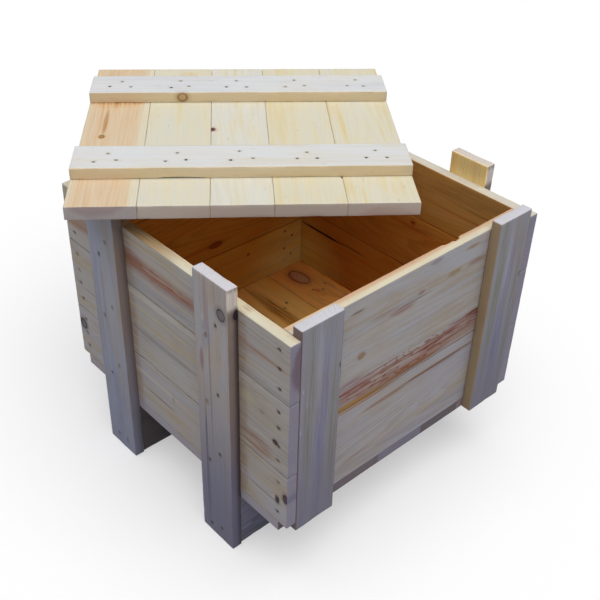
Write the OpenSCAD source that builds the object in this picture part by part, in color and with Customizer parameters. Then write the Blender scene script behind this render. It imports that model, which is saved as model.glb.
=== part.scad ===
// Nailed wooden packing box on two skids, with a loose battened lid.
// The lid has been lifted off and laid back askew, on top of the two left-hand posts.
// Frame: origin on the ground under the middle of the box, +X along the boards of the
// floor and side walls, +Z up. Front is -Y, left is -X. All sizes are in millimetres.

/* [Box] */
// Length of the floor, between the outer faces of the end walls
floor_l = 509; // [460:1:620]
// Width over the two side walls
box_w = 508; // [460:1:620]
// Height of the walls above the floor
wall_h = 337; // [290:1:450]

/* [Timber] */
// Thickness of the walls, floor, posts, cleats and battens
board_t = 18; // [14:0.5:24]
// Thickness of the lid's boards
lid_board_t = 21; // [14:0.5:24]
// Width of the posts and the end cleats
post_w = 75; // [60:1:90]
// Width of the battens on the lid
batten_w = 73; // [60:1:90]
// Width of the skids
skid_w = 70; // [60:1:75]
// Height of the skids, from the ground to the floor
skid_h = 107; // [80:1:140]
// Chamfer on the long edges of every piece of timber
arris = 0.8; // [0.2:0.1:2]

/* [Walls] */
// Width of the lowest board of the front wall and the left end wall
low_course_w = 102; // [80:1:120]
// Width of the middle board of the front wall and the left end wall
mid_course_w = 134; // [90:1:145]
// Width of the lowest board of the back wall
back_low_w = 127; // [90:1:140]
// Width of the middle board of the back wall
back_mid_w = 107; // [90:1:130]
// Width of the lower of the two boards of the right end wall
right_low_w = 144; // [90:1:180]

/* [Floor] */
// Width of the floor's front board
floor_w1 = 104.5; // [80:0.5:110]
// Width of the floor's second board
floor_w2 = 104.5; // [80:0.5:110]
// Width of the floor's middle board
floor_w3 = 102; // [80:0.5:110]
// Width of the floor's fourth board, before the one that fills the rest
floor_w4 = 90; // [80:0.5:110]

/* [Posts and cleats] */
// Distance between the middles of the two posts on one side
post_pitch = 269; // [220:1:320]
// How far the posts and the lid's battens sit off the middle, towards the left end
post_shift = 2.9; // [0:0.1:8]
// How far the posts stand above the rim
post_rise = 37; // [24:0.5:60]
// How far the end cleats stand above the rim
cleat_rise = 15; // [5:0.5:22]

/* [Lid] */
// Gap between each end of the lid's boards and the end cleats, when it is shut
lid_end_gap = 6.5; // [2:0.5:12]
// Gap between each end of the lid's battens and the posts, when it is shut
lid_side_gap = 1; // [0.5:0.5:6]
// Width of the lid's front board
lid_w1 = 101.5; // [80:0.5:106]
// Width of the lid's second board
lid_w2 = 103; // [80:0.5:106]
// Width of the lid's middle board
lid_w3 = 91.5; // [80:0.5:106]
// Width of the lid's fourth board, before the one that fills the rest
lid_w4 = 104.5; // [80:0.5:106]
// How far the lid lies turned from its shut position, in degrees
lid_turn = -38.15; // [-45:0.05:0]
// Where the lid's middle lies along X, while it rests on the left-hand posts
lid_x = -151; // [-170:0.5:-110]
// Where the lid's middle lies along Y
lid_y = 13.5; // [-30:0.5:30]

/* [Nails] */
// Diameter of a nail's shank
nail_d = 2.6; // [2:0.1:3.4]
// Diameter of a nail's head
nail_head_d = 5.6; // [4.5:0.1:8]
// Thickness of a nail's head
nail_head_t = 0.9; // [0.5:0.1:1.5]
// Length of the nails that join two boards face to face
nail_l = 33; // [24:0.5:34]
// Length of the nails that go through one board into an edge or an end
long_nail_l = 40; // [34:0.5:42]
// Length of the nails that go into the skids
skid_nail_l = 60; // [45:0.5:65]
// Least distance from a board's edge to a nail
nail_edge = 14; // [10:0.5:20]
// Spacing, along a batten or a skid, of the nails that hold one board to it
cross_pitch = 16.5; // [10:0.5:22]
// Spacing, up a post, of the nails that hold one board to it
post_nail_pitch = 30; // [20:1:45]
// Spacing, across a post's foot, of the nails into the skid
foot_nail_pitch = 25; // [16:1:40]
// Spacing of the nails up a corner
corner_pitch = 30; // [24:1:40]
// Spacing of the nails up a cleat
cleat_pitch = 18; // [14:1:30]
// How far the corner nails sit inside the outer face of an end wall
corner_inset = 3.5; // [3:0.5:9]
// How far a hand-driven nail strays from its place
nail_scatter = 3.5; // [0:0.5:4]

/* [Hidden] */
$fn = 24;

// Levels above the ground
deck_z = skid_h + board_t;
rim_z = deck_z + wall_h;
post_top_z = rim_z + post_rise;

// The side walls run past the end walls, to cover the edges of the end cleats
side_l = floor_l + 2 * board_t;
// The end walls fit between the side walls
end_l = box_w - 2 * board_t;

// Shut, the lid drops between the four posts and between the end cleats
lid_l = floor_l - 2 * lid_end_gap;
lid_w = box_w - 2 * lid_side_gap;

// Board widths, from the bottom up or from the front back. The last one fills the rest.
front_courses = [low_course_w, mid_course_w, wall_h - low_course_w - mid_course_w];
back_courses = [back_low_w, back_mid_w, wall_h - back_low_w - back_mid_w];
left_courses = front_courses;
right_courses = [right_low_w, wall_h - right_low_w];
floor_courses = [floor_w1, floor_w2, floor_w3, floor_w4,
    box_w - floor_w1 - floor_w2 - floor_w3 - floor_w4];
lid_courses = [lid_w1, lid_w2, lid_w3, lid_w4, lid_w - lid_w1 - lid_w2 - lid_w3 - lid_w4];

// Nails keep the same number and zigzag on every crossing of a kind
cross_nails = 3;
post_nails_each = 2;
foot_nails_each = 2;
lid_zigzag = 12;
floor_zigzag = 6;
post_zigzag = 13;
foot_zigzag = 2.5;
cleat_zigzag = 8;
foot_nail_z = 23;

// Turns a piece of timber, drawn along X with its width along Y, to where it is used
on_side = [90, 0, 0];
on_end = [90, 0, 90];
up_side = [0, -90, -90];
up_end = [0, -90, 0];
across = [0, 0, 90];

pale = "#e2d3ab";
weathered = "#b9b3a2";
amber = "#c39a5c";
blush = "#dcb98a";
steel = "#4a4640";

// Distance from the first board's outer edge to the middle of board i
function middle(widths, i, k = 0) = k == i ? widths[i] / 2 : widths[k] + middle(widths, i, k + 1);

function post_x(end) = end * post_pitch / 2 - post_shift;
function side_courses(side) = side < 0 ? front_courses : back_courses;
function end_courses(end) = end < 0 ? left_courses : right_courses;

// How many nails fit over a board's width
function nails_over(w, pitch) = floor((w - 2 * nail_edge) / pitch) + 1;

// Places of n nails about the middle of one crossing: [off the line, along the line]
function zigzag(n, pitch, swing, stray, seed) =
    let (r = rands(-1, 1, 2 * n, seed))
    [for (i = [0 : n - 1])
        [(i % 2 == 0 ? -swing : swing) + stray * r[2 * i],
            (i - (n - 1) / 2) * pitch + nail_scatter * r[2 * i + 1]]];

// A length of sawn timber with eased long edges, centred, along X
module timber(l, w, t) {
    rotate([90, 0, 90]) linear_extrude(l, center = true) polygon([
        for (c = [[1, 1], [-1, 1], [-1, -1], [1, -1]])
            let (corner = [c[0] * w / 2, c[1] * t / 2],
                a = corner - [c[0] * arris, 0], b = corner - [0, c[1] * arris])
            each (c[0] * c[1] > 0 ? [b, a] : [a, b])]);
}

// A round wire nail with a flat head, its head's top at the origin and its point down
module nail(l) {
    tip_l = 2 * nail_d;
    rotate_extrude() polygon([[0, 0], [nail_head_d / 2, 0], [nail_head_d / 2, -nail_head_t],
        [nail_d / 2, -nail_head_t], [nail_d / 2, tip_l - l], [0, -l]]);
}

module skid(end) {
    color(weathered) translate([post_x(end), 0, skid_h / 2]) rotate(across)
        timber(box_w, skid_w, skid_h);
}

module floor_board(i) {
    color(amber) translate([0, middle(floor_courses, i) - box_w / 2, skid_h + board_t / 2])
        timber(floor_l, floor_courses[i], board_t);
}

module side_board(side, i) {
    courses = side_courses(side);
    color(weathered)
        translate([0, side * (box_w - board_t) / 2, deck_z + middle(courses, i)])
        rotate(on_side) timber(side_l, courses[i], board_t);
}

module end_board(end, i) {
    courses = end_courses(end);
    color(weathered)
        translate([end * (floor_l - board_t) / 2, 0, deck_z + middle(courses, i)])
        rotate(on_end) timber(end_l, courses[i], board_t);
}

module end_cleat(end, side) {
    cleat_l = rim_z + cleat_rise - skid_h;
    color(weathered)
        translate([end * (floor_l + board_t) / 2, side * (end_l - post_w) / 2,
            skid_h + cleat_l / 2])
        rotate(up_end) timber(cleat_l, post_w, board_t);
}

module post(side, end) {
    color(weathered)
        translate([post_x(end), side * (box_w + board_t) / 2, post_top_z / 2])
        rotate(up_side) timber(post_top_z, post_w, board_t);
}

// Places a piece of the lid where it lies, on top of the posts
module lid_place() {
    translate([lid_x, lid_y, post_top_z]) rotate([0, 0, lid_turn]) children();
}

module lid_board(i) {
    color(i == 0 ? blush : pale) lid_place()
        translate([0, middle(lid_courses, i) - lid_w / 2, lid_board_t / 2])
        timber(lid_l, lid_courses[i], lid_board_t);
}

module lid_batten(end) {
    color(pale) lid_place() translate([post_x(end), 0, lid_board_t + board_t / 2]) rotate(across)
        timber(lid_w, batten_w, board_t);
}

module lid_nails() {
    color(steel) lid_place() for (end = [-1, 1], i = [0 : len(lid_courses) - 1])
        for (p = zigzag(cross_nails, cross_pitch, lid_zigzag, nail_scatter, 31 + 7 * i + end))
            translate([post_x(end) - p[0], middle(lid_courses, i) - lid_w / 2 + p[1],
                lid_board_t + board_t]) nail(nail_l);
}

module floor_nails() {
    color(steel) for (end = [-1, 1], i = [0 : len(floor_courses) - 1])
        for (p = zigzag(cross_nails, cross_pitch, floor_zigzag, nail_scatter, 83 + 5 * i + end))
            translate([post_x(end) + p[0], middle(floor_courses, i) - box_w / 2 + p[1], deck_z])
                nail(skid_nail_l);
}

// Driven through the side walls into the edges of the end walls
module corner_nails() {
    color(steel) for (side = [-1, 1], end = [-1, 1]) {
        courses = side_courses(side);
        for (i = [0 : len(courses) - 1])
            for (p = zigzag(nails_over(courses[i], corner_pitch), corner_pitch, 0,
                    nail_scatter / 4, 211 + 11 * i + 3 * end + side))
                translate([end * (floor_l / 2 - corner_inset) + p[0], side * box_w / 2,
                    deck_z + middle(courses, i) + p[1]])
                    rotate([-90 * side, 0, 0]) nail(long_nail_l);
    }
}

// Driven from inside the box, through the end walls into the cleats
module cleat_nails() {
    color(steel) for (side = [-1, 1], end = [-1, 1]) {
        courses = end_courses(end);
        for (i = [0 : len(courses) - 1])
            for (p = zigzag(nails_over(courses[i], cleat_pitch), cleat_pitch, cleat_zigzag,
                    nail_scatter, 307 + 13 * i + 3 * end + side))
                translate([end * (floor_l / 2 - board_t), side * (end_l - post_w) / 2 + p[0],
                    deck_z + middle(courses, i) + p[1]])
                    rotate([0, -90 * end, 0]) nail(nail_l);
    }
}

// Driven through the posts into the side walls
module post_nails() {
    color(steel) for (side = [-1, 1], end = [-1, 1]) {
        courses = side_courses(side);
        for (i = [0 : len(courses) - 1])
            for (p = zigzag(post_nails_each, post_nail_pitch, post_zigzag, nail_scatter,
                    419 + 17 * i + 3 * end + side))
                translate([post_x(end) + p[0], side * (box_w / 2 + board_t),
                    deck_z + middle(courses, i) + p[1]])
                    rotate([-90 * side, 0, 0]) nail(nail_l);
    }
}

// Driven through the feet of the posts into the ends of the skids
module skid_nails() {
    color(steel) for (side = [-1, 1], end = [-1, 1])
        for (p = zigzag(foot_nails_each, foot_nail_pitch, foot_zigzag, nail_scatter,
                541 + 3 * end + side))
            translate([post_x(end) + p[1], side * (box_w / 2 + board_t), foot_nail_z + p[0]])
                rotate([-90 * side, 0, 0]) nail(skid_nail_l);
}

module skid_left() { skid(-1); }
module skid_right() { skid(1); }
module floor_board_1() { floor_board(0); }
module floor_board_2() { floor_board(1); }
module floor_board_3() { floor_board(2); }
module floor_board_4() { floor_board(3); }
module floor_board_5() { floor_board(4); }
module front_board_low() { side_board(-1, 0); }
module front_board_mid() { side_board(-1, 1); }
module front_board_top() { side_board(-1, 2); }
module back_board_low() { side_board(1, 0); }
module back_board_mid() { side_board(1, 1); }
module back_board_top() { side_board(1, 2); }
module left_board_low() { end_board(-1, 0); }
module left_board_mid() { end_board(-1, 1); }
module left_board_top() { end_board(-1, 2); }
module right_board_low() { end_board(1, 0); }
module right_board_top() { end_board(1, 1); }
module cleat_left_front() { end_cleat(-1, -1); }
module cleat_left_back() { end_cleat(-1, 1); }
module cleat_right_front() { end_cleat(1, -1); }
module cleat_right_back() { end_cleat(1, 1); }
module post_front_left() { post(-1, -1); }
module post_front_right() { post(-1, 1); }
module post_back_left() { post(1, -1); }
module post_back_right() { post(1, 1); }
module lid_board_1() { lid_board(0); }
module lid_board_2() { lid_board(1); }
module lid_board_3() { lid_board(2); }
module lid_board_4() { lid_board(3); }
module lid_board_5() { lid_board(4); }
module lid_batten_left() { lid_batten(-1); }
module lid_batten_right() { lid_batten(1); }

skid_left();
skid_right();
floor_board_1();
floor_board_2();
floor_board_3();
floor_board_4();
floor_board_5();
front_board_low();
front_board_mid();
front_board_top();
back_board_low();
back_board_mid();
back_board_top();
left_board_low();
left_board_mid();
left_board_top();
right_board_low();
right_board_top();
cleat_left_front();
cleat_left_back();
cleat_right_front();
cleat_right_back();
post_front_left();
post_front_right();
post_back_left();
post_back_right();
floor_nails();
corner_nails();
cleat_nails();
post_nails();
skid_nails();
lid_board_1();
lid_board_2();
lid_board_3();
lid_board_4();
lid_board_5();
lid_batten_left();
lid_batten_right();
lid_nails();
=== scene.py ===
import math

import bmesh
import bpy
from mathutils import Matrix, Vector


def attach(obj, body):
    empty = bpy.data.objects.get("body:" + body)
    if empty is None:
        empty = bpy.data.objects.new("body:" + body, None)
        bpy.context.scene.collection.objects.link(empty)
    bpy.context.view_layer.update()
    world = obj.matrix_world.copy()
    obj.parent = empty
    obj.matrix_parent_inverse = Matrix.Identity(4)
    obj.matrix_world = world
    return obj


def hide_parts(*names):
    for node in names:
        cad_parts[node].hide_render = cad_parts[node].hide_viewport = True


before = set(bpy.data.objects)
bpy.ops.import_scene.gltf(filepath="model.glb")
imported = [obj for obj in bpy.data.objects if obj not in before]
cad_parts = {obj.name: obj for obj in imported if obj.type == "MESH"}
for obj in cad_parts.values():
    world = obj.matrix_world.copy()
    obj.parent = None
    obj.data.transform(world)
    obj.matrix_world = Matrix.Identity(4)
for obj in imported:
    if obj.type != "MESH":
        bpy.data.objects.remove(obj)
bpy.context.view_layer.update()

# ---------------------------------------------------------------- skids
# Two heavy sawn bearers lie across the floor, between the feet of the posts.
# They are rough pine from the outer part of the log, grey with handling and never planed; the left one
# is darker still with painted shade.


class Wire:
    """One output of a node tree, so that its maths reads as plain expressions."""

    def __init__(self, tree, out=None):
        self.tree, self.out = tree, out

    def node(self, kind, settings=None, sockets=None, out=0):
        """A new node with its settings, and with a value or another Wire in each of its sockets."""
        made = self.tree.nodes.new(kind)
        for key, value in (settings or {}).items():
            setattr(made, key, value)
        for key, value in (sockets or {}).items():
            if isinstance(value, Wire):
                self.tree.links.new(value.out, made.inputs[key])
            else:
                made.inputs[key].default_value = value
        return Wire(self.tree, made.outputs[out])

    def maths(self, operation, *values):
        """One step of maths, on vectors as soon as one of the values is a vector."""
        kind = "ShaderNodeMath"
        if any(isinstance(v, tuple) or isinstance(v, Wire) and v.out.type == "VECTOR" for v in values):
            kind = "ShaderNodeVectorMath"
            values = [(v, v, v) if isinstance(v, (int, float)) else v for v in values]
        return self.node(kind, {"operation": operation}, dict(enumerate(values)))

    def __add__(self, other): return self.maths("ADD", self, other)
    def __radd__(self, other): return self.maths("ADD", other, self)
    def __sub__(self, other): return self.maths("SUBTRACT", self, other)
    def __rsub__(self, other): return self.maths("SUBTRACT", other, self)
    def __mul__(self, other): return self.maths("MULTIPLY", self, other)
    def __rmul__(self, other): return self.maths("MULTIPLY", other, self)
    def __truediv__(self, other): return self.maths("DIVIDE", self, other)
    def __rtruediv__(self, other): return self.maths("DIVIDE", other, self)
    def __pow__(self, other): return self.maths("POWER", self, other)
    def __abs__(self): return self.maths("ABSOLUTE", self)

    def rise(self, low, high):
        """0 at low, 1 at high, and smooth between them."""
        return self.node("ShaderNodeMapRange", {"interpolation_type": "SMOOTHSTEP"},
                         {"Value": self, "From Min": low, "From Max": high})

    def noise(self, scale, detail=2.0, rough=0.5):
        """Noise from -0.5 to 0.5 at this place."""
        return self.node("ShaderNodeTexNoise", {}, {
            "Vector": self, "Scale": scale, "Detail": detail, "Roughness": rough}, out="Fac") - 0.5

    def mix(self, one, other, amount, blend="MIX"):
        """One colour turned towards another by an amount, or multiplied by it. A colour is a
        Wire, four numbers or six figures."""
        one, other = (shade(c) if isinstance(c, str) else c for c in (one, other))
        return self.node("ShaderNodeMix", {"data_type": "RGBA", "blend_type": blend},
                         {0: amount, 6: one, 7: other}, out=2)

    def tint(self, colour, amount):
        """This colour, turned towards another by an amount."""
        return self.mix(self, colour, amount)

    def length(self):
        """How long this vector is."""
        return self.node("ShaderNodeVectorMath", {"operation": "LENGTH"}, {0: self}, out=1)

    def parts(self):
        """The x, y and z of this vector."""
        split = self.node("ShaderNodeSeparateXYZ", {}, {0: self}).out.node.outputs
        return [Wire(self.tree, s) for s in split]

    def vector(self, x=0.0, y=0.0, z=0.0):
        """A vector from its parts."""
        return self.node("ShaderNodeCombineXYZ", {}, {0: x, 1: y, 2: z})

    def stored(self, name):
        """A vector that the points carry under a name."""
        return self.node("GeometryNodeInputNamedAttribute", {"data_type": "FLOAT_VECTOR"},
                         {"Name": name})


def shade(text):
    """A colour from its usual six figures, with the screen's curve taken out of it."""
    steps = [int(text[i:i + 2], 16) / 255 for i in (0, 2, 4)]
    return (*[c / 12.92 if c < 0.04045 else ((c + 0.055) / 1.055) ** 2.4 for c in steps], 1.0)


def lie(node):
    """How a piece of timber lies: its middle, its turn, and its length, width and thickness.
    Its own x runs with the grain, y across it, and z through it, by the sizes of its faces."""
    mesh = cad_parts[node].data
    faces = {}
    for face in mesh.polygons:
        way = face.normal if max(face.normal, key=abs) > 0 else -face.normal
        way = tuple(round(c, 3) + 0.0 for c in way)
        faces[way] = faces.get(way, 0.0) + face.area
    through, across = [Vector(w).normalized() for w in sorted(faces, key=faces.get)[:-3:-1]]
    along = across.cross(through)
    along = along if max(along, key=abs) > 0 else -along
    ways = (along, across, along.cross(across))
    reach = [[v.co.dot(w) for v in mesh.vertices] for w in ways]
    middle = sum(((min(r) + max(r)) / 2 * w for r, w in zip(reach, ways)), Vector())
    return middle, Matrix(ways).transposed(), [max(r) - min(r) for r in reach]


# A board's look, in millimetres from its middle, in colours, and in amounts from 0 to about 1:
#   seed                      moves all its noise, so that no two boards are alike
#   early, warm, cool, late   spring wood, its warm and cool bands, and the rings' late wood
#   grain, play               how strong the late wood is, and the drift from cool to warm
#   pith, lean                where the tree's middle runs, across and through, and how it drifts
#   ring, wander              one year's growth, and how far the rings stray from round
#   heart, heart_end          its reach from the pith, colour and amount, and its tone on sawn ends
#   knots, soft               x, y, half length, half width, middle, rim, z, half depth; their blur
#   streaks, scrawl, swirls   x, y, half length, half width, and for the first two a colour and amount
#   edge, edge_width, end     the colour and amount of long edges and of sawn ends
#   rim, flank                colours of a wall's top edge and of an upright's sides
#   foot, corner              grey towards the ground, partly painted shade, and painted shade down one corner
#   dirt, bruise              handling marks, and darker fibres round the nails
#   inside, inside_low painted warm bounce light and shade that the wood is multiplied by in the box,
#   and a painted pool of light in its low corner
#   inner_face_light          a painted warm light that one face of a board is multiplied by
plain = dict(lean=(0.01, 0.05), ring=3.2, wander=22, heart_end=(0.66, 0.5, 0.5, 1.0), knots=(),
             streaks=(), scrawl=(), swirls=(), edge_width=1.6, soft=0.06, play=0.4, bruise=0.4)
# near_black darkens knot rims, and is also the colour of the painted shade down a post's corner
near_black, resin, grime, bruised = "2c2228", "6b4a30", "7a7780", "4a3222"
cool_play, warm_play = (0.84, 0.95, 1.16, 1.0), (1.1, 1.0, 0.84, 1.0)
# Millimetres: between the noise of one seed and the next, and a half depth that goes right through
apart, endless = 37.7, 1e4
# Metres: the box's inner faces, within which the painted bounce light is laid, and its low back left
# corner, round which a painted pool of light is brightest, with a soft step at each
inner_x, inner_y, inner_z = (0.2415, 0.2395), (0.241, 0.239), (0.1225, 0.124)
low_back_left, corner_reach = (-0.24, 0.215, 0.13), (0.15, 0.02)
# Millimetres from a post's middle: its painted corner shade starts a little under its top, at the
# wall's rim
corner_shade_from = (218, 208)


def bare(name):
    """A new material with an empty tree, and a Wire to start its maths from."""
    material = bpy.data.materials.new(name)
    material.use_nodes = True
    material.node_tree.nodes.clear()
    return material, Wire(material.node_tree)


def finish_with(shader):
    """Makes a shader the surface of its material."""
    shader.tree.links.new(
        shader.out, shader.tree.nodes.new("ShaderNodeOutputMaterial").inputs["Surface"])


def pine(name, lay, look):
    """Raw pine. The growth rings are shells round the pith, so that each face shows its own cut
    through them: arches on the flat, lines on the edges, and arcs on the sawn ends. All lengths
    are in millimetres from the middle of the board, x with the grain and y across it."""
    look = {**plain, "edge": (look["late"], 0.15), **look}
    middle, turn, size = lay
    long, wide, thick = (1000 * s / 2 for s in size)
    material, start = bare(name)
    in_box = start.node("ShaderNodeTexCoord", out="Object")
    place = start.node("ShaderNodeMapping", {"vector_type": "TEXTURE"}, {
        "Vector": in_box, "Location": middle, "Rotation": turn.to_euler(),
        "Scale": (0.001, 0.001, 0.001)})
    x, y, z = place.parts()

    def at_face(way, reach, begin=1.6, full=0.6):
        """1 on a face of the board, and 0 from a little way in."""
        return way.rise(reach - begin, reach - full)

    # Noise drawn out along the grain, from drifts as broad as a hand to single fibres
    seed = look["seed"] * apart
    drift = place * (0.12, 1.0, 1.0) + (seed, seed * 0.7, -seed)
    broad = drift.noise(0.012)
    waver = drift.noise(0.045)
    mottle = (place * (0.35, 1.0, 1.0) - seed).noise(0.03, 4.0, 0.6)
    flame = (place * (0.04, 1.0, 1.0) + seed * 1.3).noise(0.13, 3.0, 0.55)
    line = (place * (0.03, 1.0, 1.0) - seed * 0.9).noise(0.34, 2.0, 0.6)
    fibre = (place * (0.015, 1.0, 1.0) + seed).noise(0.9, 3.0, 0.65)

    # The grain flows round each knot, and swirls where a branch lay deeper
    bent = y
    for ex, ey, ra, rb in look["swirls"]:
        away = (((x - ex) / ra) ** 2.0 + ((y - ey) / rb) ** 2.0) ** 0.5
        bent = bent - (y - ey) * away.rise(1.0, 0.1) * 0.8
    for kx, ky, ra, rb, *_ in look["knots"]:
        across = y - ky
        reach = ((x - kx) * (0.45 * rb / ra)) ** 2.0 + across ** 2.0
        bent = bent - across * start.maths("MINIMUM", (rb * rb * 1.25) / (reach + 0.01), 1.0)

    # Growth rings, each with a late band that starts softly and stops short
    y0, z0 = look["pith"]
    ly, lz = look["lean"]
    radius = ((bent - (y0 + ly * x)) ** 2.0 + (z - (z0 + lz * x)) ** 2.0) ** 0.5
    radius = radius + broad * look["wander"] + waver * 5 + fibre * 0.8
    ring = radius / look["ring"]
    step = start.maths("FRACT", ring)
    year = start.maths("FLOOR", ring)
    vary = start.node("ShaderNodeTexWhiteNoise", {"noise_dimensions": "1D"}, {"W": year})
    late = step.rise(0.25, 0.86) * (1 - step.rise(0.90, 1.0)) * (0.3 + 0.7 * vary)
    threads = (line * 1.3 + fibre * 0.7 + late * 0.15).rise(-0.2, 0.3)

    # Sapwood in warm and cool bands, darker heartwood near the pith, late wood, and edges
    dark = look["late"]
    colour = start.mix(look["early"], look["warm"],
                       (flame + mottle * 0.6 + broad * 0.5).rise(-0.05, 0.3) * 0.75)
    colour = colour.tint(look["cool"], (flame * 0.8 - mottle * 0.5 + broad).rise(0.0, -0.35) * 0.8)
    play = start.mix(cool_play, warm_play, (mottle * 1.4 + waver * 0.8).rise(-0.3, 0.3))
    colour = colour.mix(colour, play, look["play"], "MULTIPLY")
    if "heart" in look:
        out_to, tone, amount = look["heart"]
        heart = (radius + line * 8 + mottle * 8).rise(out_to + 5, out_to - 5) * amount
        colour = colour.tint(tone, heart * (0.8 + line))
    colour = colour.tint(dark, late * look["grain"])
    colour = colour.tint(dark, (line + fibre * 0.5).rise(0.02, 0.32) * look["grain"] * 0.7)
    tone, amount = look["edge"]
    width = look["edge_width"]
    colour = colour.tint(tone, at_face(abs(y), wide, width, width * 0.4) * amount)
    top_edge = 0.0
    if "rim" in look:
        side, outer, inner = look["rim"]
        top_edge = at_face(y, wide)
        across_rim = (z * side + waver * 9 + broad * 8).rise(-3, 5)
        colour = colour.tint(start.mix(outer, inner, across_rim), top_edge * 0.85)

    # Streaks along the grain, broad ones broken up into threads, and scrawled contour lines
    for sx, sy, la, lb, tone, amount in look["streaks"]:
        off = ((place - (sx, sy, 0.0) + waver * (0.0, min(lb, 8), 0.0)) / (la, lb, endless)).length()
        mask = (off + line * 0.8 + fibre * 0.4 + mottle * 0.5).rise(1.15, 0.45)
        mask = mask * (0.12 + 1.15 * threads) if lb > 6 else mask * (0.75 + 0.4 * threads)
        colour = colour.tint(tone, mask * amount)
    for sx, sy, la, lb, tone, amount in look["scrawl"]:
        off = ((place - (sx, sy, 0.0)) / (la, lb, endless)).length() + mottle
        wavy = (place * (0.22, 1.0, 1.0) + seed).noise(0.05, 2.0, 0.5) * 9.0
        wavy = abs(start.maths("FRACT", wavy) - 0.5).rise(0.22, 0.04)
        colour = colour.tint(tone, off.rise(1.1, 0.3) * wavy * (0.4 + threads) * amount)

    # Knots, dark at the rim, with their own years and a dip all round
    bumps = late * 0.3 + fibre * 0.7 + line * 0.3
    soft = look["soft"]
    for kx, ky, ra, rb, core, rim, *deep in look["knots"]:
        kz, rc = deep or (0.0, endless)
        off = ((place - (kx, ky, kz)) / (ra, rb, rc)).length() + waver * 0.3 + mottle * 0.25
        inside = off.rise(1.0 + soft, 1.0 - soft)
        years = off * 3.2 + mottle * 1.5
        years = start.maths("FRACT", years).rise(0.3, 0.9)
        colour = colour.tint(rim, off.rise(2.0, 0.9) * 0.35)
        colour = colour.tint(core, inside)
        colour = colour.tint(rim, inside * years * 0.45)
        colour = colour.tint(rim, inside * (off + waver).rise(0.5, 0.85) * (0.85 + mottle * 1.4))
        bumps = bumps - off.rise(1.15, 1.0) * off.rise(0.8, 1.0) * 1.5

    # Resin ducts, handling marks, darker sawn ends, and bruised fibres round the nails
    ducts = (place * (0.12, 1.0, 1.0) - seed).noise(0.42, 1.0).rise(0.24, 0.3)
    colour = colour.tint(resin, ducts * 0.35)
    worn = (mottle + broad * 0.8 + 0.15).rise(-0.1, 0.75)
    colour = colour.tint(grime, worn * look["dirt"])
    # Greyer and bluer towards the ground: partly weathering, partly painted shade low down
    if "foot" in look:
        low, high, tone, amount = look["foot"]
        colour = colour.tint(tone, (x + mottle * 80).rise(high, low) * amount)
    flank = at_face(abs(y), wide, 2, 1)
    if "flank" in look:
        colour = colour.tint(look["flank"], flank * 0.8)
    # Painted shade down the corner where an upright stands against the wall, from just under its rim
    # downwards
    if "corner" in look:
        side, amount = look["corner"]
        corner_shade = at_face(z * side, thick, 12, 1) * flank * x.rise(*corner_shade_from)
        colour = colour.tint(near_black, corner_shade * amount)
    end = at_face(abs(x), long)
    tone, amount = look["end"]
    colour = colour.tint(tone, end * amount)
    colour = colour.tint(dark, end * late * 0.18)
    if "heart" in look:
        colour = colour.mix(colour, look["heart_end"], heart * end, "MULTIPLY")
    # Painted light inside the box: the wood multiplied by a warm bounce light and shade, and by a
    # brighter painted pool of light round the low back left corner, though not on the rim
    if "inside" in look:
        ax, ay, az = in_box.parts()
        inside = abs(ax).rise(*inner_x) * abs(ay).rise(*inner_y) * az.rise(*inner_z)
        corner_light_mask = (in_box - low_back_left).length().rise(*corner_reach)
        tone = start.mix(look["inside"], look.get("inside_low", look["inside"]), corner_light_mask)
        colour = colour.mix(colour, tone, inside * (1 - top_edge), "MULTIPLY")
    # Painted warm light on one face of a board
    if "inner_face_light" in look:
        side, tone = look["inner_face_light"]
        colour = colour.mix(colour, tone, at_face(z * side, thick, 1.3, 0.4), "MULTIPLY")
    bruise = start.node("ShaderNodeAttribute", {"attribute_name": "near_nail"}, out="Fac")
    colour = colour.tint(bruised, (bruise + line * 0.6).rise(0.2, 1.0) * look["bruise"])

    rough = 0.62 + 0.14 * mottle - 0.08 * late + 0.15 * end
    bump = start.node("ShaderNodeBump", {}, {"Height": bumps, "Strength": 0.5, "Distance": 0.0004})
    shader = start.node("ShaderNodeBsdfPrincipled", {}, {
        "Base Color": colour, "Roughness": rough, "Normal": bump, "Specular IOR Level": 0.2})
    finish_with(shader)
    return material


def driven(node):
    """The place of each nail head in a CAD node, and the way that it faces."""
    bm = bmesh.new()
    bm.from_mesh(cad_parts[node].data)
    bmesh.ops.remove_doubles(bm, verts=bm.verts, dist=1e-6)
    left, heads = set(bm.verts), []
    while left:
        found, edge = set(), {next(iter(left))}
        while edge:
            found |= edge
            edge = {e.other_vert(v) for v in edge for e in v.link_edges} - found
        left -= found
        low = Vector([min(v.co[i] for v in found) for i in range(3)])
        high = Vector([max(v.co[i] for v in found) for i in range(3)])
        way = max(range(3), key=lambda i: high[i] - low[i])
        ends = [[v.co for v in found if abs(v.co[way] - h[way]) < 1e-5] for h in (low, high)]
        face = Vector([0.0, 0.0, 0.0])
        face[way] = -1.0 if len(ends[0]) > len(ends[1]) else 1.0
        place = (low + high) / 2
        place[way] = (low if face[way] < 0 else high)[way]
        heads.append((place, face))
    bm.free()
    return sorted(heads, key=lambda h: tuple(round(c, 4) for c in h[0]))


def tree_of(name, inputs):
    """An empty Geometry Nodes tree, and a Wire from each of its named inputs."""
    tree = bpy.data.node_groups.new(name, "GeometryNodeTree")
    tree.interface.new_socket("Geometry", in_out="INPUT", socket_type="NodeSocketGeometry")
    for title, kind in inputs:
        tree.interface.new_socket(title, in_out="INPUT", socket_type="NodeSocket" + kind)
    tree.interface.new_socket("Geometry", in_out="OUTPUT", socket_type="NodeSocketGeometry")
    source = tree.nodes.new("NodeGroupInput")
    return tree, {s.name: Wire(tree, s) for s in source.outputs if s.name}


def placed(name, data):
    """A new object in the scene."""
    made = bpy.data.objects.new(name, data)
    bpy.context.scene.collection.objects.link(made)
    return made


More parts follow.
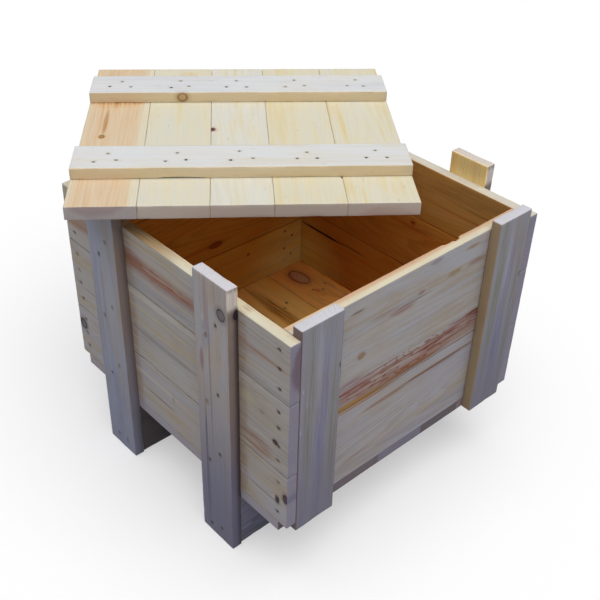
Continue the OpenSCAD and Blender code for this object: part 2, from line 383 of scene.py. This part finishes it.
def grown(name, tree, points, attributes, values):
    """Runs a tree on some points, and gives the plain mesh that it makes."""
    seed_mesh = bpy.data.meshes.new(name)
    seed_mesh.from_pydata(points, [], [])
    for title, vectors in attributes.items():
        data = seed_mesh.attributes.new(title, "FLOAT_VECTOR", "POINT").data
        for item, vector in zip(data, vectors):
            item.vector = vector
    piece = placed(name + "_points", seed_mesh)
    modifier = piece.modifiers.new("grow", "NODES")
    modifier.node_group = tree
    for item in tree.interface.items_tree:
        if item.in_out == "INPUT" and item.name in values:
            modifier[item.identifier] = values[item.name]
    bpy.context.view_layer.update()
    graph = bpy.context.evaluated_depsgraph_get()
    mesh = bpy.data.meshes.new_from_object(piece.evaluated_get(graph), depsgraph=graph)
    piece.modifiers.remove(modifier)
    bpy.data.objects.remove(piece)
    mesh.name = name
    return mesh


# The tree behind every length of timber: a close grid drawn towards its edges, which are then
# rounded over by an amount that wanders, as hand-stacked timber's are, with nail holes sunk in
cell, cell_through, crowded = 0.005, 0.003, 0.02  # metres: grid cells, and the band they crowd into
timber_tree, t = tree_of("sawn_timber", [
    ("Size", "Vector"), ("Arris", "Float"), ("Wear", "Float"), ("Seed", "Float"),
    ("Hole Radius", "Float"), ("Hole Depth", "Float"), ("Material", "Material")])
w = Wire(timber_tree)
half = t["Size"] * 0.5
lx, ly, lz = t["Size"].parts()
box = w.node("GeometryNodeMeshCube", {}, {
    "Size": t["Size"], "Vertices X": lx / cell, "Vertices Y": ly / cell,
    "Vertices Z": lz / cell_through})
place = w.node("GeometryNodeInputPosition")
far = half - w.maths("ABSOLUTE", place)
reach = w.vector(*[w.maths("MINIMUM", h, crowded) for h in half.parts()])
share = w.maths("MINIMUM", far / reach, (1.0, 1.0, 1.0))
share = share * w.maths("SINE", share * (math.pi / 2))
drawn = w.maths("SIGN", place) * (half - far * share)
box = w.node("GeometryNodeSetPosition", {}, {"Geometry": box, "Position": drawn})

# Edges rounded over by an amount that wanders, and faces that aren't quite flat
wander = place + w.vector(t["Seed"], t["Seed"] * 0.37, t["Seed"])
round_over = t["Arris"] + t["Wear"] * (wander.noise(26.0, 3.0, 0.6) * 3.0 + 0.15).rise(0.0, 1.0)
core = half - round_over
inner = w.maths("MAXIMUM", w.maths("MINIMUM", place, core), core * -1.0)
out = place - inner
ox, oy, oz = w.maths("ABSOLUTE", out).parts()
most = w.maths("MAXIMUM", w.maths("MAXIMUM", ox, oy), oz)
rounded = inner + w.maths("NORMALIZE", out) * most
uneven = (wander * (0.25, 1.0, 1.0)).noise(30.0, 2.0)
rounded = rounded * (1.0 - (uneven + 0.5) * (0.0012, 0.004, 0.02))
box = w.node("GeometryNodeSetPosition", {}, {"Geometry": box, "Position": rounded})

# Nail holes that flare at the mouth, torn wider along the grain
hole = w.node("GeometryNodeMeshCone", {}, {
    "Vertices": 16, "Radius Top": t["Hole Radius"] * 1.12, "Radius Bottom": t["Hole Radius"],
    "Depth": t["Hole Depth"] * 2.0}, out="Mesh")
hole = w.node("GeometryNodeTransform", {}, {
    "Geometry": hole, "Translation": w.vector(z=t["Hole Depth"] * -1.0)})
facing, bite = w.stored("facing"), w.stored("bite")
is_nail = w.maths("LESS_THAN", bite.length(), 1e-6)
torn = w.node("FunctionNodeRandomValue", {"data_type": "FLOAT_VECTOR"}, {
    0: (0.95, 0.95, 1.0), 1: (2.0, 1.2, 1.0), "Seed": t["Seed"]})
holes = w.node("GeometryNodeInstanceOnPoints", {}, {
    "Points": t["Geometry"], "Instance": hole, "Selection": is_nail, "Scale": torn,
    "Rotation": w.node("FunctionNodeAlignRotationToVector", {"axis": "Z"}, {"Vector": facing})})

# Splinters and corners bitten off by a lumpy stone, stretched to the size of each loss
stone = w.node("GeometryNodeMeshIcoSphere", {}, {"Radius": 1.0, "Subdivisions": 3})
bump_at = w.node("GeometryNodeInputPosition")
stone = w.node("GeometryNodeSetPosition", {}, {
    "Geometry": stone, "Position": bump_at * (1.0 + bump_at.noise(1.6, 3.0) * 0.5)})
bites = w.node("GeometryNodeInstanceOnPoints", {}, {
    "Points": t["Geometry"], "Instance": stone, "Selection": 1 - is_nail, "Scale": bite})
cut = w.node("GeometryNodeMeshBoolean", {"operation": "DIFFERENCE", "solver": "EXACT"}, {
    "Mesh 1": box})
for cutter in (holes, bites):
    timber_tree.links.new(cutter.out, cut.out.node.inputs["Mesh 2"])
done = w.node("GeometryNodeRealizeInstances", {}, {"Geometry": cut})

# How near the skin is to a nail, for the fibres bruised round it, reaching further with the grain
by_grain = (0.6, 1.0, 1.0)
driven_at = w.node("GeometryNodeSeparateGeometry", {}, {
    "Geometry": t["Geometry"], "Selection": is_nail})
driven_at = w.node("GeometryNodeSetPosition", {}, {
    "Geometry": driven_at, "Position": place * by_grain})
nearest = w.node("GeometryNodeProximity", {"target_element": "POINTS"}, {
    "Geometry": driven_at, "Sample Position": place * by_grain}, out="Distance")
valid = Wire(timber_tree, nearest.out.node.outputs["Is Valid"])
done = w.node("GeometryNodeStoreNamedAttribute", {"domain": "POINT"}, {
    "Geometry": done, "Name": "near_nail", "Value": nearest.rise(0.005, 0.0018) * valid})
done = w.node("GeometryNodeSetMaterial", {}, {"Geometry": done, "Material": t["Material"]})
timber_tree.links.new(done.out, timber_tree.nodes.new("NodeGroupOutput").inputs[0])

# Every nail head, so that each board knows its own
floor_heads = driven("floor_nails")
box_heads = [h for n in ("corner_nails", "cleat_nails", "post_nails", "skid_nails")
             for h in driven(n)]
lid_heads = driven("lid_nails")
hole_radius, close = 0.0027, 0.0001
crease = math.radians(50)


def timber(node, slot, look, body="box", trim=(0.4, 0.3, 0.2), wear=0.0011, arris=0.0006,
           bites=(), dent=0.0009):
    """A length of sawn pine in a CAD node's place, smaller than it by a trim in millimetres. It has
    a hole as deep as dent over each nail, and bites out of it: x, y, z and radii in millimetres."""
    lay = middle, turn, size = lie(node)
    back = turn.transposed()
    points, faces = [], []
    for place, face in (lid_heads if body == "lid" else box_heads + floor_heads):
        own, way = back @ (place - middle), back @ face
        past = [abs(own[i]) - size[i] / 2 for i in range(3)]
        at_face = max(p for p, c in zip(past, way) if abs(c) > 0.5) > -close
        if max(past) < close and own.dot(way) > 0 and at_face:
            points.append(own - way * close)
            faces.append(way)
    missing = [(0, 0, 0)] * len(points) + [[r / 1000 for r in b[3:]] for b in bites]
    points += [[c / 1000 for c in b[:3]] for b in bites]
    faces += [(0, 0, 1)] * len(bites)
    mesh = grown(node, timber_tree, points, {"facing": faces, "bite": missing}, {
        "Size": [s - less / 1000 for s, less in zip(size, trim)], "Arris": arris, "Wear": wear,
        "Seed": look["seed"] * 1.31, "Hole Radius": hole_radius, "Hole Depth": dent,
        "Material": pine(node, lay, look)})
    mesh.transform(Matrix.Translation(middle) @ turn.to_4x4())
    for face in mesh.polygons:
        face.use_smooth = True
    mesh.set_sharp_from_angle(angle=crease)
    piece = placed("wood_" + node, mesh)
    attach(piece, body)
    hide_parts(node)


rough_sawn = dict(late="4e443e", cool="5f5c64", dirt=0.5, grain=0.6, end=("7c7478", 0.6))
skid_looks = {
    # The left skid's darker colours are painted shade, where it lies under the box behind a post
    "left": dict(seed=3, pith=(10, 8), ring=3.6, early="5a5456", warm="5c524a"),
    "right": dict(seed=4, pith=(-18, 30), early="8a8aa2", warm="7c7880"),
}
for side, look in skid_looks.items():
    timber(f"skid_{side}", "weathered_pine", dict(rough_sawn, **look), trim=(1, 1, 1), wear=0.003)

# ---------------------------------------------------------------- floor
# Five planed boards lie lengthwise across the skids and are nailed down to them.
# Inside the box the pine is multiplied by a painted warm bounce light, with gold and pink heartwood in
# the last two.
# A painted warm bounce light that the floor is multiplied by inside the box
painted_bounce = (1.5, 1.03, 0.37, 1.0)
rust, umber = "a5603a", "4a2a16"
shallow = 0.0004  # metres that a nail head sinks into a planed board
planks = dict(early="ded2be", warm="dcc08c", cool="bab4b4", late="a08058", dirt=0.1, grain=0.4,
              end=("7d768a", 0.75), edge=("7d7888", 0.8), edge_width=0.8, inside=painted_bounce, bruise=0.12)
floor_looks = {
    1: dict(seed=11, pith=(70, -40), lean=(0.0, 0.05), edge=("a49eaa", 0.8), end=("625868", 0.85)),
    2: dict(seed=12, pith=(-12, -50), lean=(0.01, -0.04), end=("665d6c", 0.85)),
    3: dict(seed=13, pith=(20, -60), lean=(0.0, 0.03), end=("7c7a92", 0.85)),
    4: dict(seed=14, pith=(-90, -35), lean=(-0.01, 0.05), warm="e0b860", end=("565260", 0.85),
            streaks=[(-140, -13, 110, 14, "866026", 0.8), (-90, -24, 90, 10, "866026", 0.8),
                     (-170, -18, 70, 5, "7a4c24", 0.5)]),
    5: dict(seed=15, pith=(12, -80), lean=(0.0, -0.05), early="e6c4a4", late="a8744c", soft=0.16,
            knots=[(-194, -8.5, 27, 17, "b8a8cc", "8a5a4c"), (-137, -12, 6, 4, "c89878", "b88464")]),
}
for i, look in floor_looks.items():
    timber(f"floor_board_{i}", "floor_pine", dict(planks, **look), trim=(0.6, 0.15, 0.3),
           wear=0.0004, arris=0.0002, dent=shallow)

# ---------------------------------------------------------------- side walls
# Three boards a side stand on the floor's edges and run past the end walls to cover their cleats.
# Slow-grown pine: greyed outside, cream along the planed rim, and inside multiplied by a painted warm
# bounce light and shade.
wall_trim = (0.6, 0.9, 0.2)
# Painted light that the walls are multiplied by inside the box: warm bounce light and shade, dimmer at
# the back, and a painted pool of light low in the back left corner
painted_bounce, painted_dim_bounce, painted_corner_light = (1.1, 0.64, 0.2, 1.0), (1.08, 0.5, 0.105, 1.0), (1.75, 1.6, 0.7, 1.0)
front_rim, back_rim = (-1, "e2dcc2", "e4d6b4"), (1, "dad6c6", "dcd2be")
straw, chalk, slate = "d8c68c", "d6cfc0", "807c80"
wall = dict(early="c6c0b6", warm="c4b28c", cool="a6a2a4", late="8f7864", dirt=0.22, grain=0.4,
            end=("9793a8", 0.8), edge=("8a7c6c", 0.4), inside=painted_bounce)
# Painted shade and warm reflection on the wall beside each post
shade_beside_posts = [(x, 0, 13, 90, "a88460", 0.6) for x in (-94, 175)]
front_looks = {
    "low": dict(early="c2bebc", seed=21, pith=(95, -55), lean=(0.1, 0.02),
                streaks=shade_beside_posts + [
                    (-50, 20, 110, 5, chalk, 0.6), (-32, -9, 55, 1.5, "5e564e", 0.8),
                    (3, 15, 4, 12, "a27c74", 0.5), (222, -12, 40, 2, "8e745a", 0.7)],
                knots=[(251, -6, 4, 7, "2e2c34", near_black, 9, 6), (268, 8, 6, 9, "5a3438", "3a2028"),
                       (-260, 15, 11, 10.5, "7a7678", near_black)]),
    "mid": dict(seed=22, pith=(-95, -60), lean=(0.12, -0.03), swirls=[(232, -22, 75, 26)],
                streaks=shade_beside_posts + [
                    (0, 58, 250, 6, chalk, 0.6), (-60, 34, 200, 1.8, straw, 0.8),
                    (-20, -11, 110, 6, slate, 0.5), (-190, -19, 80, 2, slate, 0.6),
                    (205, -45, 45, 22, "9c7458", 0.7), (217, 21.6, 8, 5, "a48078", 0.5),
                    (187, 30, 22, 14, "ccc294", 0.7)],
                knots=[(245, -15, 5.5, 4.5, "5a3c28", near_black, 9, 7)]),
    "top": dict(seed=23, pith=(6, -56), lean=(0.0, -0.014), rim=front_rim, heart=(65, "a0654a", 0.75),
                streaks=shade_beside_posts + [
                    (-20, 1, 170, 13, "a4745c", 0.85), (-82, 4, 34, 15, "9a6248", 0.7),
                    (-30, -2, 120, 1.8, rust, 0.4), (-245, -12, 45, 9, "a87848", 0.6),
                    # The last streak, along the rim, is a painted shadow of the lid
                    (225, 3.5, 60, 3, "a87850", 0.6), (-60, 51, 90, 3, "a4865c", 1.0)],
                scrawl=[(-40, -2, 150, 15, "985840", 0.6)]),
}
back_looks = {
    "low": dict(seed=31, pith=(90, -50), lean=(0.08, 0.05), inside=painted_dim_bounce, inside_low=painted_corner_light,
                streaks=[(-178, 30, 66, 3.6, "3c1c10", 1.2), (-100, 33, 45, 3, umber, 0.5),
                         (40, 20, 200, 4, rust, 0.4)]),
    # The light tan edges of the mid and top boards are a painted highlight along the joint between
    # them
    "mid": dict(seed=32, pith=(4, -75), lean=(0.0, 0.05), inside=painted_dim_bounce, edge=("d8b484", 0.5),
                streaks=[(45, 30, 60, 5, rust, 0.5), (45, 40, 7, 10, "8c3c18", 0.9)]),
    "top": dict(seed=33, pith=(-90, 40), lean=(0.1, -0.04), edge=("d8b484", 0.5), rim=back_rim,
                streaks=[(150, -8, 100, 3, rust, 0.5), (190, 10, 60, 2, umber, 0.4)]),
}
for side, looks in (("front", front_looks), ("back", back_looks)):
    for row, look in looks.items():
        timber(f"{side}_board_{row}", "wall_pine", dict(wall, **look), trim=wall_trim)

# ---------------------------------------------------------------- end walls
# Shorter boards fit between the side walls and are nailed from inside to their cleats.
# The right end has just two, the upper one with red-brown heartwood and resin above the joint.
# Painted warm bounce light and shade inside the left end, with the painted pool of light low at its
# back
painted_amber_bounce, painted_deep_bounce = (1.4, 0.86, 0.2, 1.0), (1.24, 0.7, 0.16, 1.0)
left_end = dict(wall, inside=painted_deep_bounce, inside_low=painted_corner_light, bruise=0.15, soft=0.25)
left_looks = {
    "low": dict(inside=painted_amber_bounce, seed=41, pith=(-80, -50), lean=(0.0, 0.04),
                knots=[(97, 22, 3, 2.4, "9a6844", "7a4a2c")]),
    "mid": dict(seed=42, pith=(0, -70), lean=(0.0, 0.04), streaks=[(-20, -42, 60, 5, rust, 0.6)],
                knots=[(19, -43, 14, 6, "8c6848", "744828")]),
    "top": dict(seed=43, pith=(9, -70), lean=(0.0, 0.04), rim=back_rim),
}
for row, look in left_looks.items():
    timber(f"left_board_{row}", "wall_pine", dict(left_end, **look), trim=wall_trim, dent=shallow)
greyed = dict(wall, early="c0bcbc", warm="bcae98", cool="a09eaa")
timber("right_board_low", "wall_pine", dict(
    greyed, seed=44, pith=(-40, -80), lean=(0.05, 0.03), streaks=[
        (70, 50, 120, 4, "845028", 0.9), (-40, 47, 60, 5, "966a48", 0.7),
        (-90, -40, 55, 18, "a69080", 0.5), (-80, 69, 90, 2.5, "a86c2c", 0.8),
        (60, -50, 200, 20, "98929c", 0.5)]), trim=wall_trim)
timber("right_board_top", "wall_pine", dict(
    greyed, early="c8c4c0", seed=45, pith=(-150, -14), lean=(0.03, -0.02), ring=4.5, grain=0.28,
    rim=(-1, "e6dcbc", "deb48a"), heart=(80, "94543a", 0.42), soft=0.35, streaks=[
        (-20, -76, 230, 13, "ac7050", 0.5), (-120, -62, 50, 20, "9a5444", 0.9),
        (-60, -52, 50, 2, "985c48", 0.8), (-20, -60, 60, 1.6, "8c5038", 0.8),
        (-70, -72, 90, 1.8, "9a6038", 0.8), (-20, -80, 110, 1.6, "8c5830", 0.8),
        (-30, -62, 60, 7, "a06048", 0.8), (55, -66, 38, 13, "8c4028", 1.0),
        (118, -62, 44, 13, "8c3c24", 1.1), (152, -56, 32, 12, "7e3820", 1.1),
        (-95, -93, 75, 5, "a8782c", 1.2), (-125, -90, 45, 5, "b8883a", 0.9),
        (10, -90, 95, 3, "8e5e2c", 1.2), (-190, 96, 45, 3, "f0dcb0", 0.6),
        (20, -86, 150, 2, "a06c34", 0.9), (110, -76, 70, 2, "8c5024", 0.9),
        (-25, 35, 32, 6, "a67c70", 0.75), (-60, 44.5, 42, 3, "a67c70", 0.5),
        (0, 39.5, 45, 1.6, "7a706a", 0.7), (15, 47, 10, 5, "a06248", 0.55),
        (87.6, 50.5, 20, 5, "a88a58", 0.8), (42, 88, 16, 6, "a08c9c", 0.7),
        (138, 50, 26, 6, "a4786c", 0.6), (125, 81, 18, 4, "a88664", 0.8),
        (-117, 74.5, 18, 3, "8a7c62", 0.8)],
    swirls=[(150, -80, 60, 30), (20, 30, 90, 30), (105, -25, 60, 40)],
    scrawl=[(15, -70, 190, 26, "8a4c30", 1.1)], knots=[(-103, -8.5, 6.5, 5, "a8906c", "9c8060")]),
    bites=[(99, 97, -9.5, 9, 9, 7.5), (86, 97, -9.5, 17, 6.5, 4.6)], trim=wall_trim)

# ---------------------------------------------------------------- end cleats
# One narrow board stands outside each corner of an end wall and ties its boards together.
# Greyer timber than the walls, in greenish and bluish bands, with brown sawn edges.
upright = dict(wear=0.0022, arris=0.001)
grey_pine = dict(early="aaa8ae", warm="a4a092", cool="9391a8", late="7c7674", dirt=0.25, grain=0.28,
                 edge=("8c7464", 0.75), end=("dedee2", 0.75))
bands = [(40, -20, 210, 10, "8c8b74", 0.85), (-60, 2, 150, 14, "8684a8", 0.8),
         (70, 9, 90, 9, "8c84a2", 0.7), (-20, 27, 170, 10, "88866e", 0.75),
         (-120, -12, 60, 9, "a8a6b0", 0.6), (120, -3, 90, 5, "b8b8c0", 0.5)]
scratches = [(82, -31, 5, 1, "d0d0d8", 0.7), (10, -34, 6, 1.2, "d4d4dc", 0.7),
             (55, -24, 7, 0.8, "ccccd4", 0.7)]
cleat_looks = {
    ("left", "front"): {}, ("left", "back"): {},
    # flank here is a painted shadow in the gap between the front wall's end and this cleat
    ("right", "front"): dict(knots=[(94, 36.5, 4, 3, slate, near_black, -8, 8)], flank="7a6868",
                             streaks=bands + scratches),
    ("right", "back"): dict(knots=[(67.6, 36.9, 4, 3, slate, near_black)]),
}
for i, ((end, side), look) in enumerate(cleat_looks.items()):
    flip = (-1) ** i
    usual = dict(grey_pine, seed=51 + i, pith=(60 * flip, -30), lean=(0.05, 0.02 * flip),
                 foot=(-200, 100, "706d80", 0.62), flank="b29a74", streaks=bands)
    timber(f"cleat_{end}_{side}", "weathered_pine", dict(usual, **look), **upright)

# ---------------------------------------------------------------- posts
# Four posts stand on the ground outside the side walls, nailed to them and to the skids' ends.
# Their tops stand proud of the rim and carry the lid here. Their inner faces carry a painted warm
# light, and a painted shade runs down the corner where each meets the wall.
# What a post's inner face is multiplied by: a painted warm light
painted_face_light = (2.2, 1.85, 0.95, 1.0)
# corner: painted shade where each post stands against the wall
front_post = dict(early="b8b6b8", warm="b0a49c", cool="9496ae", play=0.5, end=("dcdce2", 0.75),
                  foot=(-260, 120, "848ca8", 0.65), inner_face_light=(1, painted_face_light), corner=(1, 0.3))
back_post = dict(early="c0b8a8", warm="b8a888", cool="b4a898", end=("e4d8cc", 0.75),
                 foot=(-260, 120, "8288a4", 0.6), inner_face_light=(-1, painted_face_light), corner=(-1, 0.3),
                 # A painted light along the top of the post's side, above the wall
                 streaks=[(231, 37.5, 19, 3, "ece4dc", 1.0)])
near_post = dict(front_post, early="c6beb6", warm="c0a890", grain=0.22, corner=(1, 0.8),
                 foot=(-200, 150, "686a86", 0.8), streaks=[
                     # The first streak is a painted light along the top of the post's side, above the
                     # wall
                     (231, 37.5, 19, 3, "f8eee0", 1.0), (100, -23.6, 24, 5, "a4807a", 0.9),
                     (150, -12, 30, 14, "9ca2b4", 0.7), (177.5, -18.6, 6, 3, "d0c4b4", 0.8),
                     (152.5, -16.6, 6, 3, "d0c4b4", 0.8), (-95, -19.6, 145, 3, "6e4c40", 0.9),
                     (-170, -22, 80, 9, "8c6450", 0.6), (60, -5, 150, 2, "7c7480", 0.6),
                     (200, -10, 60, 6, "a48880", 0.6)],
                 knots=[(202.5, 22.4, 9.5, 8.5, "8e8282", "2a1e22"),
                        (205, 38.5, 8, 5, "3a2c2c", near_black, 6, 6)])
post_looks = {("front", "left"): front_post, ("front", "right"): near_post,
              ("back", "left"): back_post, ("back", "right"): back_post}
for i, ((side, end), look) in enumerate(post_looks.items()):
    flip = (-1) ** i
    usual = dict(grey_pine, seed=61 + i, pith=(70 * flip, -25), lean=(0.05, 0.02 * flip))
    timber(f"post_{side}_{end}", "weathered_pine", dict(usual, **look), **upright)

# ---------------------------------------------------------------- nails in the box
# Round wire nails, driven by hand until their heads sit just under the surface.
# Their steel has gone dull and brown in the damp wood.
nail_tree, t = tree_of("wire_nail", [
    ("Head Radius", "Float"), ("Head Thickness", "Float"), ("Shank Radius", "Float"),
    ("Length", "Float"), ("Sink", "Float"), ("Rust", "Float"), ("Seed", "Int"),
    ("Material", "Material")])
w = Wire(nail_tree)


def turned(top, bottom, low, high):
    """A round length of the nail between two heights, narrowing from one radius to the other."""
    cone = w.node("GeometryNodeMeshCone", {"fill_type": "NONE"}, {
        "Vertices": around, "Radius Top": top, "Radius Bottom": bottom, "Depth": high - low},
        out="Mesh")
    return w.node("GeometryNodeTransform", {}, {"Geometry": cone, "Translation": w.vector(z=low)})


# One closed skin: the flat crown, its bevel, the head's side, its underside, the shank and point
around = 14
head, shank = t["Head Radius"], t["Shank Radius"]
crown, brim = head * 0.84, head * 0.97
under = t["Head Thickness"] * -1.0
bevel = under * 0.35
tip = t["Length"] * -1.0
taper = tip + shank * 4.0
top = w.node("GeometryNodeMeshCircle", {"fill_type": "NGON"}, {"Vertices": around, "Radius": crown})
nail = w.node("GeometryNodeJoinGeometry")
for part in (top, turned(crown, head, bevel, 0.0), turned(head, brim, under, bevel),
             turned(brim, shank, under, under), turned(shank, shank, taper, under),
             turned(shank, 0.0, tip, taper)):
    nail_tree.links.new(part.out, nail.out.node.inputs[0])
nail = w.node("GeometryNodeMergeByDistance", {}, {"Geometry": nail, "Distance": 1e-6})

# Each nail faces its own way, is sunk by its own amount, and has its own share of rust
facing = w.stored("facing")
sink = w.node("FunctionNodeRandomValue", {}, {2: 0.45, 3: 1.0, "Seed": t["Seed"]}, out=1)
points = w.node("GeometryNodeSetPosition", {}, {
    "Geometry": t["Geometry"], "Offset": facing * (sink * t["Sink"] * -1.0)})
rusted = w.node("FunctionNodeRandomValue", {}, {
    2: t["Rust"] - 0.5, 3: t["Rust"] + 0.5, "Seed": t["Seed"] + 1.0}, out=1)
points = w.node("GeometryNodeStoreNamedAttribute", {"domain": "POINT"}, {
    "Geometry": points, "Name": "rust", "Value": rusted})
nails = w.node("GeometryNodeInstanceOnPoints", {}, {
    "Points": points, "Instance": nail,
    "Rotation": w.node("FunctionNodeAlignRotationToVector", {"axis": "Z"}, {"Vector": facing})})
done = w.node("GeometryNodeRealizeInstances", {}, {"Geometry": nails})
done = w.node("GeometryNodeSetMaterial", {}, {"Geometry": done, "Material": t["Material"]})
nail_tree.links.new(done.out, nail_tree.nodes.new("NodeGroupOutput").inputs[0])

# Brown crust over grey steel, paler where the wood has kept it dry
steel, start = bare("dull_nail_steel")
place = start.node("ShaderNodeTexCoord", out="Object")
crust = place.noise(900.0, 4.0, 0.6)
colour = start.mix("4e443c", "40291a", (crust * 2 + 0.4).rise(0.1, 0.9))
rust_here = start.node("ShaderNodeAttribute", {"attribute_name": "rust"}, out="Fac")
colour = colour.tint("b09878", rust_here.rise(0.75, 0.25) * 0.85)
bump = start.node("ShaderNodeBump", {}, {"Height": crust, "Strength": 0.5, "Distance": 0.0003})
finish_with(start.node("ShaderNodeBsdfPrincipled", {}, {
    "Base Color": colour, "Metallic": 0.35, "Roughness": 0.55 + 0.3 * crust, "Normal": bump}))


def nails_of(name, heads, sink, rust, seed, body, *nodes):
    """The nails of some CAD nodes, one at each of their heads, sunk by up to some metres."""
    mesh = grown(name, nail_tree, [h[0] for h in heads], {"facing": [h[1] for h in heads]}, {
        "Head Radius": 0.0025, "Head Thickness": 0.0009, "Shank Radius": 0.0013, "Length": 0.032,
        "Sink": sink, "Rust": rust, "Seed": seed, "Material": steel})
    piece = placed(name, mesh)
    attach(piece, body)
    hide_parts(*nodes)


nails_of("nails_floor", floor_heads, 0.0003, 0.35, 4, "box", "floor_nails")
nails_of("nails_box", box_heads, 0.0006, 0.85, 5, "box", "corner_nails", "cleat_nails", "post_nails",
         "skid_nails")

# ---------------------------------------------------------------- lid boards
# Five loose-fitting planed boards side by side, the palest timber of the box.
# The front one is a piece of orange heartwood with a strip of sapwood along one edge.
cream = dict(early="dfd9c0", warm="dfd0a0", cool="dad8c8", late="d2be92", dirt=0.04, grain=0.2,
             play=0.2, end=("ccbcb2", 0.8), edge=("c4a67c", 0.35), bruise=0.25)
lid_looks = {
    1: dict(seed=71, pith=(-5, 57), lean=(0.0, 0.01), wander=10, warm="dfc89c", late="cc9c6c",
            grain=0.22, end=("b6aeb0", 0.8), heart=(63, "dcb88c", 0.75),
            heart_end=(0.82, 0.76, 0.78, 1.0), streaks=[
                (-110, -20, 150, 14, "d39a68", 0.5), (-22, -17, 52, 4, "b47e44", 0.8),
                # The last two streaks, across the board beside the batten, are a stain with painted
                # shade and warm reflection from the batten
                (-96, -8, 20, 44, "cc944c", 0.5), (-100, 0, 7, 70, "b87c38", 0.6)],
            knots=[(27, -18.5, 6, 4.5, "bc8c50", "986a38")], soft=0.2),
    2: dict(seed=72, pith=(-80, -40), lean=(0.0, 0.04), streaks=[(-215, 10, 22, 20, "dcb070", 0.5)]),
    3: dict(seed=73, pith=(12, -75), lean=(0.01, -0.03), early="dfdccc",
            knots=[(4, -43, 7, 5, "5c3c38", "a88078")]),
    4: dict(seed=74, pith=(90, -55), lean=(0.0, 0.04)),
    5: dict(seed=75, pith=(8, -85), lean=(0.0, 0.02), warm="ddca8e", heart=(82, "dcc09c", 0.6),
            heart_end=(0.92, 0.78, 0.8, 1.0)),
}
missing = {2: [(248, -51.5, 0, 3, 3, 14)], 4: [(166, 52, 9, 8, 2.4, 5)],
           3: [(-248, 45.75, 0, 5, 3.5, 14), (4, -43, 10.5, 5.5, 3.2, 7)]}
for i, look in lid_looks.items():
    timber(f"lid_board_{i}", "fresh_pine", dict(cream, **look), body="lid", trim=(0.8, 0.3, 0.3),
           arris=0.0004, bites=missing.get(i, ()))

# ---------------------------------------------------------------- lid battens
# Two planed battens across the boards hold them together, nailed through from above.
# Almost white on top, with warmer sawn edges, and a waney corner on the right one.
batten = dict(early="dfe0de", warm="dcd6c4", cool="d2d4d8", late="c8bda8", dirt=0.03, grain=0.25,
              play=0.1, end=("c0b6a8", 0.5), edge=("e6cc98", 0.75), bruise=0.15)
batten_looks = {
    "left": dict(seed=81, pith=(80, 40), lean=(0.0, 0.03),
                 knots=[(-97, 36.5, 9.5, 6, "d0b084", "a07c54", 0, 8)]),
    "right": dict(seed=82, pith=(-70, 40), lean=(0.0, -0.03)),
}
wane = {"right": [(-93, 37.5, 10.5, 46, 6, 4.5)]}
for side, look in batten_looks.items():
    timber(f"lid_batten_{side}", "fresh_pine", dict(batten, **look), body="lid",
           bites=wane.get(side, ()), wear=0.0016, dent=shallow)

# ---------------------------------------------------------------- lid nails
# Three or four nails hold each board to each batten, in a zigzag across the batten's width.
# They sit almost level in the pale wood, and have rusted less than those in the walls.
nails_of("nails_lid", lid_heads, 0.0003, 0.32, 9, "lid", "lid_nails")

# ---------------------------------------------------------------- studio
# The object stands on plain white, as in the picture, with only a soft shadow round its feet:
# one broad overhead light, a faint cool sky, and a floor that the camera sees as white.
full_white = (1.0, 1.0, 1.0, 1.0)
floor_grey, sky_grey = (0.30, 0.30, 0.32, 1.0), (0.26, 0.27, 0.31, 1.0)
floor_mesh = bpy.data.meshes.new("studio_floor")
floor_mesh.from_pydata([(-20, -20, 0), (20, -20, 0), (20, 20, 0), (-20, 20, 0)], [], [(0, 1, 2, 3)])
floor = placed("studio_floor", floor_mesh)
white, start = bare("studio_white")
rays = start.node("ShaderNodeLightPath").out.node.outputs
by_camera, by_gloss, by_glass = (
    Wire(start.tree, rays[f"Is {kind} Ray"]) for kind in ("Camera", "Glossy", "Transmission"))
seen = start.maths("MAXIMUM", by_camera, start.maths("MAXIMUM", by_gloss, by_glass))
pale = start.node("ShaderNodeBsdfDiffuse", {}, {"Color": start.mix(floor_grey, full_white, seen)})
bright = start.node("ShaderNodeEmission", {}, {"Color": full_white, "Strength": 1.0})
finish_with(start.node("ShaderNodeMixShader", {}, {0: seen * 0.4, 1: pale, 2: bright}))
floor_mesh.materials.append(white)

world = bpy.data.worlds.new("studio_sky")
bpy.context.scene.world = world
world.use_nodes = True
start = Wire(world.node_tree)
rays = start.node("ShaderNodeLightPath").out.node.outputs
glow = start.mix(sky_grey, full_white, Wire(start.tree, rays["Is Camera Ray"]))
start.tree.links.new(glow.out, start.tree.nodes["Background"].inputs["Color"])

lamp = bpy.data.lights.new("overhead", "SUN")
lamp.energy = 2.42
lamp.angle = math.radians(70)
lamp.color = (1.0, 0.985, 0.96)
to_lamp = Vector((0.22, -0.10, 1.0))
placed("overhead", lamp).rotation_euler = to_lamp.to_track_quat("Z", "Y").to_euler()

# The photograph's own camera: its place, how far it is turned round the box, its height over
# the ground as an angle, and its roll
lens = bpy.data.cameras.new("camera")
lens.sensor_width = 36.0
lens.lens = 56.54
camera = placed("camera", lens)
eye = Vector((0.94138, -0.87045, 1.19091))
turn, rise, roll = 0.81621, 0.62507, 0.03119
back = Vector((math.sin(turn) * math.cos(rise), -math.cos(turn) * math.cos(rise), math.sin(rise)))
right = Vector((math.cos(turn), math.sin(turn), 0.0))
up = back.cross(right)
axes = Matrix((math.cos(roll) * right + math.sin(roll) * up,
               math.cos(roll) * up - math.sin(roll) * right, back))
camera.matrix_world = Matrix.Translation(eye) @ axes.transposed().to_4x4()
bpy.context.scene.camera = camera
bpy.context.scene.view_settings.view_transform = "Standard"
